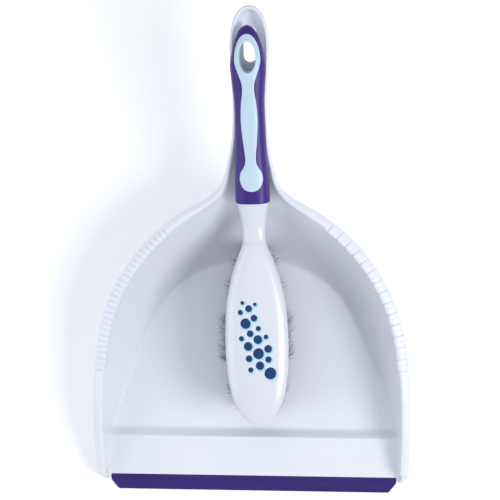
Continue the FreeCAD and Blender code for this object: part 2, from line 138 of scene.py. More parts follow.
def slopes(x, y):
    """Tangents of a monotone cubic through the points."""
    step = np.diff(x)
    rise = np.diff(y) / step
    tangent = np.zeros_like(y)
    tangent[0], tangent[-1] = rise[0], rise[-1]
    for k in range(1, len(x) - 1):
        if rise[k - 1] * rise[k] > 0:
            w1, w2 = 2 * step[k] + step[k - 1], step[k] + 2 * step[k - 1]
            tangent[k] = (w1 + w2) / (w1 / rise[k - 1] + w2 / rise[k])
    return tangent


def smooth_curve(table_x, table_y):
    """Function that follows the points with a monotone cubic."""
    x, y = np.asarray(table_x, float), np.asarray(table_y, float)
    tangent = slopes(x, y)

    def value(at):
        at = np.clip(np.asarray(at, float), x[0], x[-1])
        k = np.clip(np.searchsorted(x, at) - 1, 0, len(x) - 2)
        step = x[k + 1] - x[k]
        t = (at - x[k]) / step
        return ((1 + 2 * t) * (1 - t) ** 2 * y[k] + t * (1 - t) ** 2 * step * tangent[k]
                + t * t * (3 - 2 * t) * y[k + 1] + t * t * (t - 1) * step * tangent[k + 1])

    return value


rim_half = smooth_curve(RIM[:, 0], RIM[:, 1])
rim_height = smooth_curve(RIM[:, 0], RIM[:, 2])
rim_flange = smooth_curve(RIM[:, 0], RIM[:, 3])


def dense_curve(points, per_span=14):
    """Dense points of a Catmull-Rom curve through the points, ends included."""
    p = np.asarray(points, float)
    p = np.vstack([2 * p[0] - p[1], p, 2 * p[-1] - p[-2]])
    dense = []
    for k in range(1, len(p) - 2):
        for t in np.linspace(0, 1, per_span, endpoint=False):
            a, b, c, d = p[k - 1:k + 3]
            dense.append(0.5 * (2 * b + (c - a) * t + (2 * a - 5 * b + 4 * c - d) * t * t
                                + (3 * b - a - 3 * c + d) * t ** 3))
    dense.append(p[-2])
    return np.array(dense)


def both_sides(points):
    """Outline given for +X carried on to -X."""
    right = np.asarray(points, float)
    left = right[::-1][1:] * (-1, 1)
    return dense_curve(np.vstack([right, left]))


def plan_normals(path):
    """Unit vectors out of a plan curve that runs with its inside on the left."""
    along = np.gradient(path, axis=0)
    out = np.column_stack([along[:, 1], -along[:, 0]])
    return out / np.maximum(np.hypot(out[:, 0], out[:, 1])[:, None], 1e-9)


def walked_along(path):
    """Distance walked at each point of a plan curve."""
    return np.concatenate([[0], np.cumsum(np.hypot(*np.diff(path, axis=0).T))])


def spaced(path, steps):
    """Points of a polyline at the given distances along it."""
    walked = walked_along(path)
    return np.column_stack([np.interp(steps, walked, path[:, k]) for k in (0, 1)])


def even_rows(points, count):
    """Resample a polyline evenly along its length."""
    return spaced(points, np.linspace(0, walked_along(points)[-1], count))


RIM_EDGE = both_sides(RIM[:, (1, 0)])
RIM_INSIDE = RIM_EDGE - plan_normals(RIM_EDGE) * rim_flange(RIM_EDGE[:, 1])[:, None]
HALF_COUNT = len(RIM_EDGE) // 2 + 1
INSIDE_PLACES = np.maximum.accumulate(RIM_INSIDE[:HALF_COUNT, 1])
HANDLE_END = float(INSIDE_PLACES[-1])


def inner_half(y):
    """Half width of the pan inside its rim."""
    return np.interp(y, INSIDE_PLACES, RIM_INSIDE[:HALF_COUNT, 0])


def inner_rim(y):
    """Height of the rim where the inside of the wall meets it."""
    return np.interp(y, INSIDE_PLACES, rim_height(RIM_EDGE[:HALF_COUNT, 1]))


def dome_points():
    """Plan of the top of the dome: half width and place."""
    places = np.linspace(RIM[0, 0], DOME_SIDES_END, 24)
    rows = [(float(inner_half(y)), float(y)) for y in places]
    rows.insert(0, (rows[0][0], FLOOR_FRONT))
    return rows + [(DOME_CORNER_HALF, DOME_BACK - 3.0), (0.0, DOME_BACK)]


FLOOR_EDGE = both_sides(FLOOR)
DOME_EDGE = both_sides(dome_points())


def distance_to(outline, x, y):
    """Distance from each point to a polyline."""
    a, b = outline[:-1], outline[1:]
    along = b - a
    length = np.maximum((along ** 2).sum(1), 1e-9)
    best = np.full(x.shape, 1e9)
    for start, step, square in zip(a, along, length):
        t = np.clip(((x - start[0]) * step[0] + (y - start[1]) * step[1]) / square, 0, 1)
        best = np.minimum(best, np.hypot(x - start[0] - t * step[0], y - start[1] - t * step[1]))
    return best


def floor_half(y):
    edge = FLOOR_EDGE[:len(FLOOR_EDGE) // 2 + 1]
    return np.interp(y, edge[:, 1], edge[:, 0], right=0.0)


def trough_depth(y):
    """Depth of the trough, which rounds up to nothing at the end of the handle."""
    out = np.clip((TROUGH_END - y) / TROUGH_END_ROUND, 0, 1)
    return TROUGH_DEPTH * np.sqrt(out * (2 - out))


def smooth_min(a, b, reach):
    """Lower of two heights, blended where they are closer than the reach."""
    overlap = np.maximum(reach - np.abs(a - b), 0) / reach
    return np.minimum(a, b) - overlap ** 2 * reach / 4


def ramp_level(y):
    """Top of the ramp behind the lip, with rounded edges."""
    return np.interp(y, RAMP_LEVELS[:, 0], RAMP_LEVELS[:, 1])


def inside_height(x, y, ramp=True):
    """Height of the inside of the pan and of the trough in its handle."""
    x, y = np.broadcast_arrays(np.asarray(x, float), np.asarray(y, float))
    rim = inner_rim(y)
    to_floor = distance_to(FLOOR_EDGE, x, y)
    to_rim = distance_to(DOME_EDGE, x, y)
    rise = to_floor / np.maximum(to_floor + to_rim, 1e-6)
    rise = np.where(np.abs(x) < floor_half(y), 0.0, rise)
    rise = np.where(y >= DOME_BACK, 1.0, rise)
    wall = FLOOR_LEVEL + (rim - FLOOR_LEVEL) * rise ** WALL_CURVE
    wall = np.maximum(wall, ramp_level(y)) if ramp else wall
    depth = trough_depth(y)
    flared = TROUGH_HALF + np.maximum(TROUGH_FRONT - y, 0) * TROUGH_FLARE
    half = np.maximum(np.minimum(inner_half(y), flared), 0.3)
    trough = rim - depth + depth * np.minimum(np.abs(x) / half, 3.0) ** TROUGH_CURVE
    trough = trough + np.maximum(TROUGH_FADE_FRONT - y, 0)
    return np.where(y > TROUGH_ALONE, trough, smooth_min(wall, trough, TROUGH_BLEND))


# ---------------------------------------------------------------- mesh helpers

def make_piece(name, points, faces, material):
    """Smooth-shaded mesh object from pan millimetres."""
    mesh = bpy.data.meshes.new(name)
    mesh.from_pydata([tuple(p) for p in to_world(points)], [], faces)
    mesh.validate()
    piece = bpy.data.objects.new(name, mesh)
    bpy.context.scene.collection.objects.link(piece)
    mesh.materials.append(material)
    mesh.polygons.foreach_set("use_smooth", [True] * len(mesh.polygons))
    return piece


def grid_faces(rows, columns, wrap_rows=False, start=0):
    """Quads of a grid stored row by row, whose columns run right round."""
    faces = []
    for i in range(rows if wrap_rows else rows - 1):
        for j in range(columns):
            a = start + i * columns + j
            b = start + i * columns + (j + 1) % columns
            c = start + (i + 1) % rows * columns + (j + 1) % columns
            d = start + (i + 1) % rows * columns + j
            faces.append((a, b, c, d))
    return faces


def capped_faces(rows, columns):
    """Faces of a closed tube: its sides and a cap at each end."""
    last = rows * columns - 1
    caps = [tuple(range(columns)), tuple(last - k for k in range(columns))]
    return grid_faces(rows, columns) + caps


def rework(piece, change):
    """Apply a change to the mesh of a piece."""
    work = bmesh.new()
    work.from_mesh(piece.data)
    change(work)
    work.to_mesh(piece.data)
    work.free()


def outward(piece):
    """Point every face of a closed mesh outwards."""
    rework(piece, lambda work: bmesh.ops.recalc_face_normals(work, faces=work.faces))


def weld(piece):
    """Join points that lie together."""
    rework(piece, lambda work: bmesh.ops.remove_doubles(work, verts=work.verts, dist=1e-7))


def sharpen(piece, degrees=38.0):
    """Smooth shading that keeps edges sharper than the angle."""
    limit = math.radians(degrees)

    def change(work):
        for edge in work.edges:
            edge.smooth = not (len(edge.link_faces) == 2 and edge.calc_face_angle(0.0) > limit)
        for face in work.faces:
            face.smooth = True

    rework(piece, change)


def subtract(piece, cutter):
    """Cut one closed piece out of another."""
    change = piece.modifiers.new("cut", "BOOLEAN")
    change.operation, change.solver, change.object = "DIFFERENCE", "EXACT", cutter
    cut = bpy.data.meshes.new_from_object(piece.evaluated_get(bpy.context.evaluated_depsgraph_get()))
    piece.modifiers.remove(change)
    piece.data = cut


# ---------------------------------------------------------------- materials

def add_node(tree, kind, **inputs):
    """Node with its input sockets set or linked by name."""
    node = tree.nodes.new(kind)
    for name, value in inputs.items():
        socket = node.inputs[int(name[1:])] if name[0] == "_" else node.inputs[name.replace("_", " ")]
        if isinstance(value, bpy.types.NodeSocket):
            tree.links.new(value, socket)
        else:
            socket.default_value = value
    return node


def new_material(name):
    material = bpy.data.materials.new(name)
    material.use_nodes = True
    tree = material.node_tree
    return material, tree, tree.nodes["Principled BSDF"]


def object_place(tree, stretch=(1.0, 1.0, 1.0)):
    where = add_node(tree, "ShaderNodeTexCoord")
    return add_node(tree, "ShaderNodeMapping", Vector=where.outputs["Object"], Scale=stretch).outputs[0]


def noise(tree, place, scale, detail=3.0, rough=0.5):
    node = add_node(tree, "ShaderNodeTexNoise", Vector=place, Scale=scale, Detail=detail,
                    Roughness=rough)
    return node.outputs["Fac"]


def spread(tree, value, low, high, from_low=0.0, from_high=1.0):
    node = add_node(tree, "ShaderNodeMapRange", Value=value, From_Min=from_low, From_Max=from_high,
                    To_Min=low, To_Max=high)
    return node.outputs[0]


def mix_colour(tree, factor, first, second):
    node = tree.nodes.new("ShaderNodeMix")
    node.data_type = "RGBA"
    for socket, value in ((node.inputs[0], factor), (node.inputs[6], first), (node.inputs[7], second)):
        if isinstance(value, bpy.types.NodeSocket):
            tree.links.new(value, socket)
        else:
            socket.default_value = value
    return node.outputs[2]


def moulded(name, colour, shade, rough, rough_spread, grain, grain_scale, coat=0.0, coat_rough=0.1,
            sheen=0.0, scatter=0.0, scuffs=0.0, waves=0.02, specular=0.5):
    """Moulded plastic or soft rubber: faint tone drift, fine grain, flow waves and scuffs."""
    material, tree, shader = new_material(name)
    place = object_place(tree)
    drift = noise(tree, place, 14.0, 2.0)
    tone = mix_colour(tree, spread(tree, drift, 0.0, 1.0, 0.3, 0.7), (*colour, 1), (*shade, 1))
    scratched = noise(tree, object_place(tree, (55.0, 900.0, 300.0)), 1.0, 2.0, 0.6)
    marks = spread(tree, scratched, 0.0, 1.0, 0.62, 0.78)
    patches = noise(tree, place, 40.0, 3.0)
    patchy = spread(tree, patches, rough - rough_spread, rough + rough_spread, 0.3, 0.7)
    worn = add_node(tree, "ShaderNodeMath", _0=marks, _1=scuffs * 0.25)
    worn.operation = "MULTIPLY"
    total = add_node(tree, "ShaderNodeMath", _0=patchy, _1=worn.outputs[0])
    total.operation = "ADD"
    tree.links.new(total.outputs[0], shader.inputs["Roughness"])
    tree.links.new(tone, shader.inputs["Base Color"])
    flow = add_node(tree, "ShaderNodeBump", Height=noise(tree, place, 24.0, 2.0), Strength=waves,
                    Distance=0.004)
    fine = add_node(tree, "ShaderNodeBump", Height=noise(tree, place, grain_scale, 2.0),
                    Strength=grain, Distance=0.0002, Normal=flow.outputs[0])
    cuts = add_node(tree, "ShaderNodeBump", Height=marks, Strength=scuffs, Distance=0.00005,
                    Normal=fine.outputs[0])
    cuts.invert = True
    tree.links.new(cuts.outputs[0], shader.inputs["Normal"])
    shader.inputs["Coat Weight"].default_value = coat
    shader.inputs["Coat Roughness"].default_value = coat_rough
    shader.inputs["Sheen Weight"].default_value = sheen
    shader.inputs["Specular IOR Level"].default_value = specular
    shader.inputs["Subsurface Weight"].default_value = scatter
    shader.inputs["Subsurface Radius"].default_value = (0.004, 0.004, 0.005)
    return material


PAN_WHITE = moulded("pan_plastic", (0.79, 0.815, 0.885), (0.765, 0.79, 0.868), 0.34, 0.05,
                    0.10, 2600.0, coat=0.12, coat_rough=0.25, scatter=0.05, scuffs=0.25)
HEAD_WHITE = moulded("brush_plastic", (0.71, 0.735, 0.80), (0.69, 0.715, 0.785), 0.28, 0.04,
                     0.08, 2600.0, coat=0.35, coat_rough=0.12, scatter=0.05, scuffs=0.12,
                     waves=0.015)
GRIP_PURPLE = moulded("grip_rubber", (0.041, 0.014, 0.215), (0.033, 0.011, 0.175), 0.38, 0.06,
                      0.35, 1500.0, sheen=0.02, scuffs=0.10, specular=0.34)
LIP_PURPLE = moulded("lip_rubber", (0.038, 0.018, 0.165), (0.031, 0.014, 0.135), 0.44, 0.06,
                     0.30, 1300.0, scuffs=0.45, specular=0.26)
INLAY_BLUE = moulded("inlay_rubber", (0.55, 0.70, 0.82), (0.515, 0.665, 0.795), 0.40, 0.05,
                     0.22, 1500.0, coat=0.10, coat_rough=0.3, scatter=0.08, scuffs=0.10)
INK_NAVY = moulded("ink_navy", (0.012, 0.055, 0.16), (0.009, 0.042, 0.13), 0.42, 0.05,
                   0.12, 2400.0, waves=0.0, specular=0.22)
INK_PALE = moulded("ink_pale", (0.36, 0.66, 0.86), (0.32, 0.62, 0.83), 0.40, 0.05,
                   0.12, 2400.0, waves=0.0)


# ---------------------------------------------------------------- pan

SECTION_POINTS = 76
SHELL_ROWS, TURN_ROWS = 236, 26
TURN_START, TURN_SPARE = 334.0, 0.35
RIM_TUCK, OUTSIDE_TUCK = 2.0, 0.6


def shell_places():
    """Places of the sections, closer together in the rounded end of the handle."""
    straight = np.linspace(RIM[0, 0], TURN_START, SHELL_ROWS - TURN_ROWS)
    turn = np.linspace(0, math.pi / 2, TURN_ROWS + 1)[1:]
    reach = HANDLE_END - TURN_SPARE - TURN_START
    return np.concatenate([straight, TURN_START + reach * np.sin(turn)])


def lip_shift(y):
    """How far back a point between the cheeks moves, to leave room for the lip."""
    return (LIP_BACK - RIM[0, 0]) * max(0.0, 1 - (y - RIM[0, 0]) / LIP_BLEND)


def section_right(y, ramp=True):
    """Inside of the wall from the middle line to the rim, as (x, z)."""
    flat = float(floor_half(y))
    inner = float(inner_half(y))
    flat = min(flat, inner * 0.97)
    along_floor = np.linspace(0, flat, 60, endpoint=False) if flat > 0.5 else np.array([])
    along_wall = flat + (inner - flat) * np.linspace(0, 1, 140)
    x = np.concatenate([along_floor, along_wall]) if flat > 0.5 else along_wall
    shift = np.where(x < LIP_HALF, lip_shift(y), 0.0)
    z = inside_height(x, y + shift, ramp)
    top = float(inner_rim(y)) - RIM_TUCK
    z = np.where(np.arange(len(x)) == len(x) - 1, top, np.minimum(z, top))
    return even_rows(np.column_stack([x, z]), SECTION_POINTS)


def slope_along(y):
    """Slope of the middle of the trough along the handle."""
    ahead, behind = inside_height(0.0, y + 1.5), inside_height(0.0, y - 1.5)
    return float(ahead - behind) / 3.0


def section_outside(right, y):
    """The outside of the wall: the inside moved out along its normals."""
    along = np.gradient(right, axis=0)
    out = np.column_stack([along[:, 1], -along[:, 0]])
    out /= np.maximum(np.hypot(out[:, 0], out[:, 1])[:, None], 1e-9)
    out[0] = (0, -1)
    thick = WALL * math.hypot(1.0, slope_along(min(y, 346.0)))
    moved = right + out * thick
    moved[:, 0] = np.maximum.accumulate(moved[:, 0])
    moved[:, 1] = np.minimum(moved[:, 1], right[-1, 1] - OUTSIDE_TUCK)
    if y < TROUGH_FRONT:
        moved[:, 1] = np.maximum(moved[:, 1], 0.0)
    return moved


def make_shell():
    """Scoop and trough handle as one closed skin."""
    rows = []
    for y in shell_places():
        right = section_right(y)
        outside = section_outside(section_right(y, ramp=False), y)
        row = []
        for half, sign in ((right[::-1], -1), (right[1:], 1), (outside[::-1], 1), (outside[1:], -1)):
            for x, z in half:
                inside_lip = max(0.0, min(1.0, (LIP_HALF + 0.5 - x) / 0.8))
                row.append((sign * x, y + lip_shift(y) * inside_lip, z))
        rows.append(row)
    columns = len(rows[0])
    points = np.array([p for row in rows for p in row])
    faces = grid_faces(len(rows), columns)
    half = columns // 2
    last = (len(rows) - 1) * columns
    for k in range(half - 1):
        faces.append((k, columns - 1 - k, columns - 2 - k, k + 1))
        faces.append((last + k, last + k + 1, last + columns - 2 - k, last + columns - 1 - k))
    shell = make_piece("pan_shell", points, faces, PAN_WHITE)
    outward(shell)
    return shell


# ---------------------------------------------------------------- rim and its combs

COARSE_STEP, FINE_STEP = 1.3, 0.36
LEAN_REACH, LEAN_LAST = 3.0, 344.0
COMB_FINE = {"side": -1, "start": 93.0, "pitch": 4.35, "count": 28}
COMB_COARSE = {"side": 1, "start": 94.5, "pitch": 8.70, "count": 15}


def comb_start(comb):
    """Distance along the rim at which a comb begins."""
    walked = walked_along(RIM_EDGE)
    half = len(RIM_EDGE) // 2
    if comb["side"] > 0:
        return float(np.interp(comb["start"], RIM_EDGE[:half, 1], walked[:half]))
    return float(np.interp(comb["start"], RIM_EDGE[half:][::-1, 1], walked[half:][::-1]))


def comb_distance(comb, at):
    return (at - comb_start(comb)) * comb["side"]


def in_comb(comb, at):
    """1 inside the comb, fading over half a tooth at each end."""
    d = comb_distance(comb, at)
    length, fade = comb["pitch"] * (comb["count"] - 1), comb["pitch"] / 2
    return float(np.clip(min(d + fade, length + fade - d) / fade, 0, 1))


def groove(comb, at, width, phase=0.0):
    """1 in the middle of each groove, 0 past its edges."""
    pitch = comb["pitch"]
    d = comb_distance(comb, at) - phase * pitch
    nearest = abs(d - pitch * round(d / pitch))
    t = min(nearest / (width / 2), 1.0)
    return (1 - t * t * (3 - 2 * t)) * in_comb(comb, at)


def tooth_bulge(comb, at):
    """Round of a tooth's inner end: 1 in its middle, 0 at the grooves."""
    pitch = comb["pitch"]
    phase = comb_distance(comb, at) / pitch % 1.0
    return math.sqrt(max(1 - (2 * phase - 1) ** 4, 0.0)) * in_comb(comb, at)


def tooth_shape(at):
    """How deep the rim is grooved and how far the teeth stand out at a place."""
    fine_groove = groove(COMB_FINE, at, 2.3)
    fine_tooth = in_comb(COMB_FINE, at) * (1 - fine_groove)
    coarse_groove = groove(COMB_COARSE, at, 1.3)
    division = groove(COMB_COARSE, at, 0.9, phase=0.5)
    depth = 1.45 * fine_groove + 1.2 * coarse_groove + 0.4 * division
    stand = 0.95 * fine_tooth + 1.25 * tooth_bulge(COMB_COARSE, at) - 0.25 * division
    return depth, max(stand, 0.0)


def rim_steps():
    """Distances along the rim of its sections, closer together in the combs."""
    length = walked_along(RIM_EDGE)[-1]
    fine = np.zeros(0)
    for comb in (COMB_FINE, COMB_COARSE):
        start, step = comb_start(comb), comb["side"] * comb["pitch"]
        ends = sorted((start - step, start + step * (comb["count"] + 0.5)))
        fine = np.concatenate([fine, np.arange(*ends, FINE_STEP)])
    coarse = np.linspace(0, length, int(length / COARSE_STEP))
    keep = [a for a in coarse if np.abs(fine - a).min() > FINE_STEP]
    return np.sort(np.concatenate([fine, keep]))


def rim_profile(flange, lean, depth, stand):
    """Cross-section of the rim as (out from the inner edge, up from it)."""
    drop = flange * FLANGE_SLOPE
    outer = min(flange - 0.4, 2.6)
    return [
        (-5.0 * lean + 0.6, -5.0),
        (-3.6 * lean + 0.25 - 0.75 * stand, -3.6),
        (-2.2 * lean + 0.02 - 0.95 * stand, -2.2),
        (-1.1 * lean - 0.02 - stand, -1.1 - depth * 0.5),
        (0.25 - 0.7 * stand, -0.3 - depth),
        (1.0, 0.0 - depth),
        (flange * 0.55, -drop * 0.5 - depth),
        (flange - 1.1, -drop + 0.25 - depth * 0.8),
        (flange - 0.35, -drop - 0.1 - depth * 0.25),
        (flange, -drop - 0.8),
        (flange - 0.1, -drop - 1.5),
        (flange - 0.6, -drop - 1.8),
        (outer, -3.0),
        (-5.0 * lean + 1.4, -5.2),
    ]


def wall_lean(inside, normal, top):
    """How far the wall leans in for each millimetre down, near the rim."""
    below = inside - normal * LEAN_REACH
    ground = inside_height(np.abs(below[:, 0]), np.minimum(below[:, 1], LEAN_LAST))
    return np.clip(LEAN_REACH / np.maximum(top - ground, 0.4), 0.12, 1.4)


def make_rim():
    """Rim of the pan, with its combs, as one closed strip."""
    steps = rim_steps()
    edge = spaced(RIM_EDGE, steps)
    normal = spaced_normals(steps)
    flange = rim_flange(edge[:, 1])
    inside = edge - normal * flange[:, None]
    top = rim_height(edge[:, 1])
    lean = wall_lean(inside, normal, top)
    points = []
    for k, at in enumerate(steps):
        depth, stand = tooth_shape(at)
        for out, up in rim_profile(flange[k], lean[k], depth, stand):
            x, y = inside[k] + normal[k] * out
            points.append((x, y, max(top[k] + up, 0.4)))
    columns = len(points) // len(steps)
    rim = make_piece("pan_rim", points, capped_faces(len(steps), columns), PAN_WHITE)
    outward(rim)
    return rim


def spaced_normals(steps):
    """Unit vectors out of the rim at the given distances along it."""
    walked = walked_along(RIM_EDGE)
    normals = plan_normals(RIM_EDGE)
    at = np.column_stack([np.interp(steps, walked, normals[:, k]) for k in (0, 1)])
    return at / np.hypot(at[:, 0], at[:, 1])[:, None]


# ---------------------------------------------------------------- lip

LIP_PLAN = [(0.0, 99.5), (0.4, 100.6), (1.5, 101.5), (6.75, 104.2), (6.85, 105.7), (11.55, 106.3)]
LIP_SECTION = [
    (11.55, 0.0), (8.0, 0.0), (4.0, 0.0), (0.9, 0.0), (0.25, 0.12), (0.0, 0.42), (0.2, 0.72), (0.8, 0.92),
    (2.0, 1.11), (4.0, 1.42), (6.0, 1.73), (6.9, 1.86), (7.15, 1.66), (7.5, 1.60), (7.85, 1.68),
    (8.1, 2.04), (9.5, 2.27), (11.1, 2.52), (11.55, 2.42),
]


def make_lip():
    """Soft wedge on the front edge, with the step where its tip is thinned."""
    places = [p for p, _ in LIP_PLAN]
    halves = [h for _, h in LIP_PLAN]
    inner = np.linspace(0, 0.985, 40)
    across = np.concatenate([-1 + 0.004 * np.array([0, 0.3, 1, 2.2]), -inner[::-1], inner[1:],
                             1 - 0.004 * np.array([2.2, 1, 0.3, 0])])
    points = []
    for t in across:
        edge = max(0.0, 1 - (1 - abs(t)) / 0.0088) ** 2
        for y, z in LIP_SECTION:
            half = float(np.interp(y, places, halves))
            points.append((t * half, y, z - 0.35 * edge * z / 2.5 if z > 0.2 else z))
    faces = capped_faces(len(across), len(LIP_SECTION))
    lip = make_piece("lip_strip", points, faces, LIP_PURPLE)
    outward(lip)
    return lip


# ---------------------------------------------------------------- brush

# The brush's own frame: its pivot on the rim of the trough, its rise and its skew.
PIVOT_PLACE = 283.0
RISE, SKEW = math.radians(12.0), math.radians(1.73)

# Where the middle line bends up into the head, its slope there, and the ease.
BEND_START, BEND_SLOPE, BEND_EASE = 88.0, 0.1763, 10.0
CROWN_POWER, BASE_POWER, GRIP_POWER, CORE_BASE_POWER = 2.4, 4.5, 2.5, 2.6
HEAD_START, TIP_ROUND, GRIP_START, GRIP_END = -226.3, 10.0, -69.5, 52.4
GRIP_LOW, GRIP_CROWN = 1.0, 12.0
GRIP_TALL = GRIP_CROWN - GRIP_LOW
CORE_RATIO, CORE_HEIGHT, CORE_START, CORE_END = 0.76, 8.0, -78.0, 48.0
INLAY_PROUD, INLAY_TUCK, INLAY_DEEP = 0.38, 0.06, 1.4
HOLE_PLACE, HOLE_HALF, HOLE_LONG = 31.5, 6.0, 10.75
LINING_INSIDE, LINING_OUTSIDE, LINING_DROP = -0.28, 0.35, 0.7

# Head and neck: place, half width, height above and depth below the middle line.
HEAD = np.array([
    (HEAD_START, 2.2, 2.2, 3.4), (-225.0, 6.0, 3.4, 4.8), (-222.2, 9.7, 4.6, 6.0), (-216.4, 14.2, 5.7, 6.8),
    (-208.0, 18.0, 6.4, 7.0), (-198.0, 20.3, 6.8, 7.0), (-185.0, 21.8, 7.1, 7.0), (-170.0, 22.3, 7.2, 7.0),
    (-155.0, 21.9, 7.2, 7.0), (-144.0, 21.0, 7.2, 7.0), (-132.0, 18.9, 7.1, 7.0), (-119.0, 15.6, 7.0, 6.8),
    (-109.0, 11.9, 6.9, 6.4), (-101.5, 8.9, 6.7, 6.0), (-96.5, 8.0, 5.6, 5.8), (-90.0, 8.1, 5.8, 5.8),
    (-82.0, 9.1, 7.4, 6.0), (-75.0, 10.4, 9.3, 6.4), (GRIP_START, 11.7, 11.0, 7.0),
])

# Soft grip: place and half width.
GRIP = np.array([
    (GRIP_START, 12.1), (-60.0, 12.0), (-48.0, 11.6), (-26.0, 10.9), (0.0, 10.6), (12.0, 11.4),
    (25.0, 12.4), (35.0, 10.9), (42.0, 8.9), (46.5, 7.1), (49.5, 5.3), (51.4, 3.4), (GRIP_END, 1.3),
])

# Pale inlay in the grip: half width and place.
INLAY = [
    (0.0, -61.3), (4.2, -60.2), (7.0, -57.0), (8.25, -52.8), (7.6, -48.2), (5.6, -45.0), (4.2, -42.0),
    (3.7, -38.5), (4.1, -33.0), (4.9, -26.0), (5.6, -17.0), (5.9, -9.0), (5.3, 0.0), (4.2, 8.0),
    (4.4, 13.5), (6.3, 19.5), (8.6, 26.0), (9.3, 31.0), (8.3, 38.0), (4.9, 44.6), (0.0, 47.2),
]

head_half = smooth_curve(HEAD[:, 0], HEAD[:, 1])
head_top = smooth_curve(HEAD[:, 0], HEAD[:, 2])
head_low = smooth_curve(HEAD[:, 0], HEAD[:, 3])
grip_half = smooth_curve(GRIP[:, 0], GRIP[:, 1])


def brush_matrix():
    pivot = Matrix.Translation((0.0, PIVOT_PLACE, float(rim_height(PIVOT_PLACE))))
    return pivot @ Matrix.Rotation(SKEW, 4, "Z") @ Matrix.Rotation(RISE, 4, "X")


BRUSH = np.array(brush_matrix())


def on_brush(points):
    """Brush millimetres to pan millimetres."""
    p = np.asarray(points, float)
    return p @ BRUSH[:3, :3].T + BRUSH[:3, 3]


def spine(place):
    """Height of the brush's middle line: straight in the handle, bent up in the head."""
    past = -place - BEND_START
    eased = BEND_SLOPE * (past + BEND_EASE) ** 2 / (4 * BEND_EASE)
    return np.where(past <= -BEND_EASE, 0.0, np.where(past < BEND_EASE, eased, BEND_SLOPE * past))


def ring(place, half, top, bottom, crown=CROWN_POWER, base=BASE_POWER, count=72):
    """Closed cross-section with a crowned top and a flatter underside."""
    angle = np.linspace(0, 2 * math.pi, count, endpoint=False)
    across, upward = np.cos(angle), np.sin(angle)
    power = np.where(upward >= 0, crown, base)
    x = half * np.sign(across) * np.abs(across) ** (2 / power)
    z = np.where(upward >= 0, top, bottom) * np.sign(upward) * np.abs(upward) ** (2 / power)
    return np.column_stack([x, np.full(count, place), z + spine(place)])


def loft(name, rings, material):
    """Closed mesh through rings of the same number of points."""
    faces = capped_faces(len(rings), len(rings[0]))
    piece = make_piece(name, on_brush(np.vstack(rings)), faces, material)
    outward(piece)
    return piece


def make_head():
    """Head and neck of the brush."""
    tip = HEAD_START + TIP_ROUND * (1 - np.cos(np.linspace(0, math.pi / 2, 26)))
    places = np.concatenate([tip, np.linspace(tip[-1] + 0.7, GRIP_START, 150)])
    rings = [ring(HEAD_START - 0.45, 0.9, 1.1, 1.6), ring(HEAD_START - 0.3, 1.5, 1.6, 2.5)]
    for place in places:
        size = [float(table(place)) for table in (head_half, head_top, head_low)]
        rings.append(ring(place, *size))
    return loft("brush_head", rings, HEAD_WHITE)


def end_round(place, start=22.0, finish=54.0):
    """1 along the handle, falling like a quarter circle into its end."""
    return np.sqrt(np.clip(1 - (np.maximum(place - start, 0) / (finish - start)) ** 2, 0, 1))


def make_core():
    """Hard core of the handle, closed by three shrinking rings."""
    rings = [ring(CORE_START, CORE_RATIO * 11.0, 6.0, 6.0)]
    for place in np.linspace(GRIP_START, CORE_END, 70):
        height = CORE_HEIGHT * float(end_round(place))
        half = CORE_RATIO * float(grip_half(place))
        rings.append(ring(place, half, height, height, base=CORE_BASE_POWER))
    for shrink in (0.92, 0.75, 0.45):
        middle = rings[-1].mean(0)
        last = middle + (rings[-1] - middle) * shrink
        last[:, 1] += 0.8 * (1 - shrink)
        rings.append(last)
    return loft("handle_core", rings, HEAD_WHITE)


def grip_surface(x, place):
    """Height of the top of the grip."""
    across = np.clip(np.abs(x) / grip_half(place), 0, 1) ** (GRIP_POWER / 2)
    arch = np.sqrt(1 - across ** 2) ** (2 / GRIP_POWER)
    return GRIP_LOW + GRIP_TALL * end_round(place) * arch


def grip_ring(place, half, crown, inset=0.0):
    """Cross-section of the grip: an arch on a flat base with eased corners."""
    angle = np.linspace(0, math.pi, 57)
    across = np.sign(np.cos(angle)) * np.abs(np.cos(angle)) ** (2 / GRIP_POWER)
    base = GRIP_LOW + inset
    tall = base + 0.9 + (crown - 0.9) * np.sin(angle) ** (2 / GRIP_POWER)
    corner = np.array([(half - 0.05, 0.45), (half - 0.35, 0.12), (half - 0.9, 0.0), (half * 0.5, 0.0)])
    low = np.vstack([corner * (-1, 1), [(0.0, 0.0)], corner[::-1]]) + (0.0, base)
    shape = np.vstack([np.column_stack([half * across, tall]), low])
    return np.column_stack([shape[:, 0], np.full(len(shape), place), shape[:, 1]])


def make_grip():
    """Soft grip, with a rounded shoulder where it starts."""
    rings = []
    start_half = float(grip_half(GRIP_START))
    for ahead, narrow, low in ((-0.9, 0.90, 0.84), (-0.75, 0.945, 0.92), (-0.4, 0.98, 0.97)):
        rings.append(grip_ring(GRIP_START + ahead, start_half * narrow, GRIP_TALL * low,
                               0.3 * (1 - low)))
    for place in np.concatenate([np.linspace(GRIP_START, 40.0, 110), np.linspace(40.6, GRIP_END, 30)]):
        crown = GRIP_TALL * float(end_round(place))
        rings.append(grip_ring(place, float(grip_half(place)), max(crown, 1.2)))
    rings.append(grip_ring(GRIP_END + 0.3, 0.9, 1.1, 0.3))
    return loft("grip_soft", rings, GRIP_PURPLE)


def inlay_lift(room):
    """How far the inlay stands proud, easing to nothing at its edges."""
    return INLAY_PROUD * np.clip(room, 0, 1) ** 0.5 - INLAY_TUCK


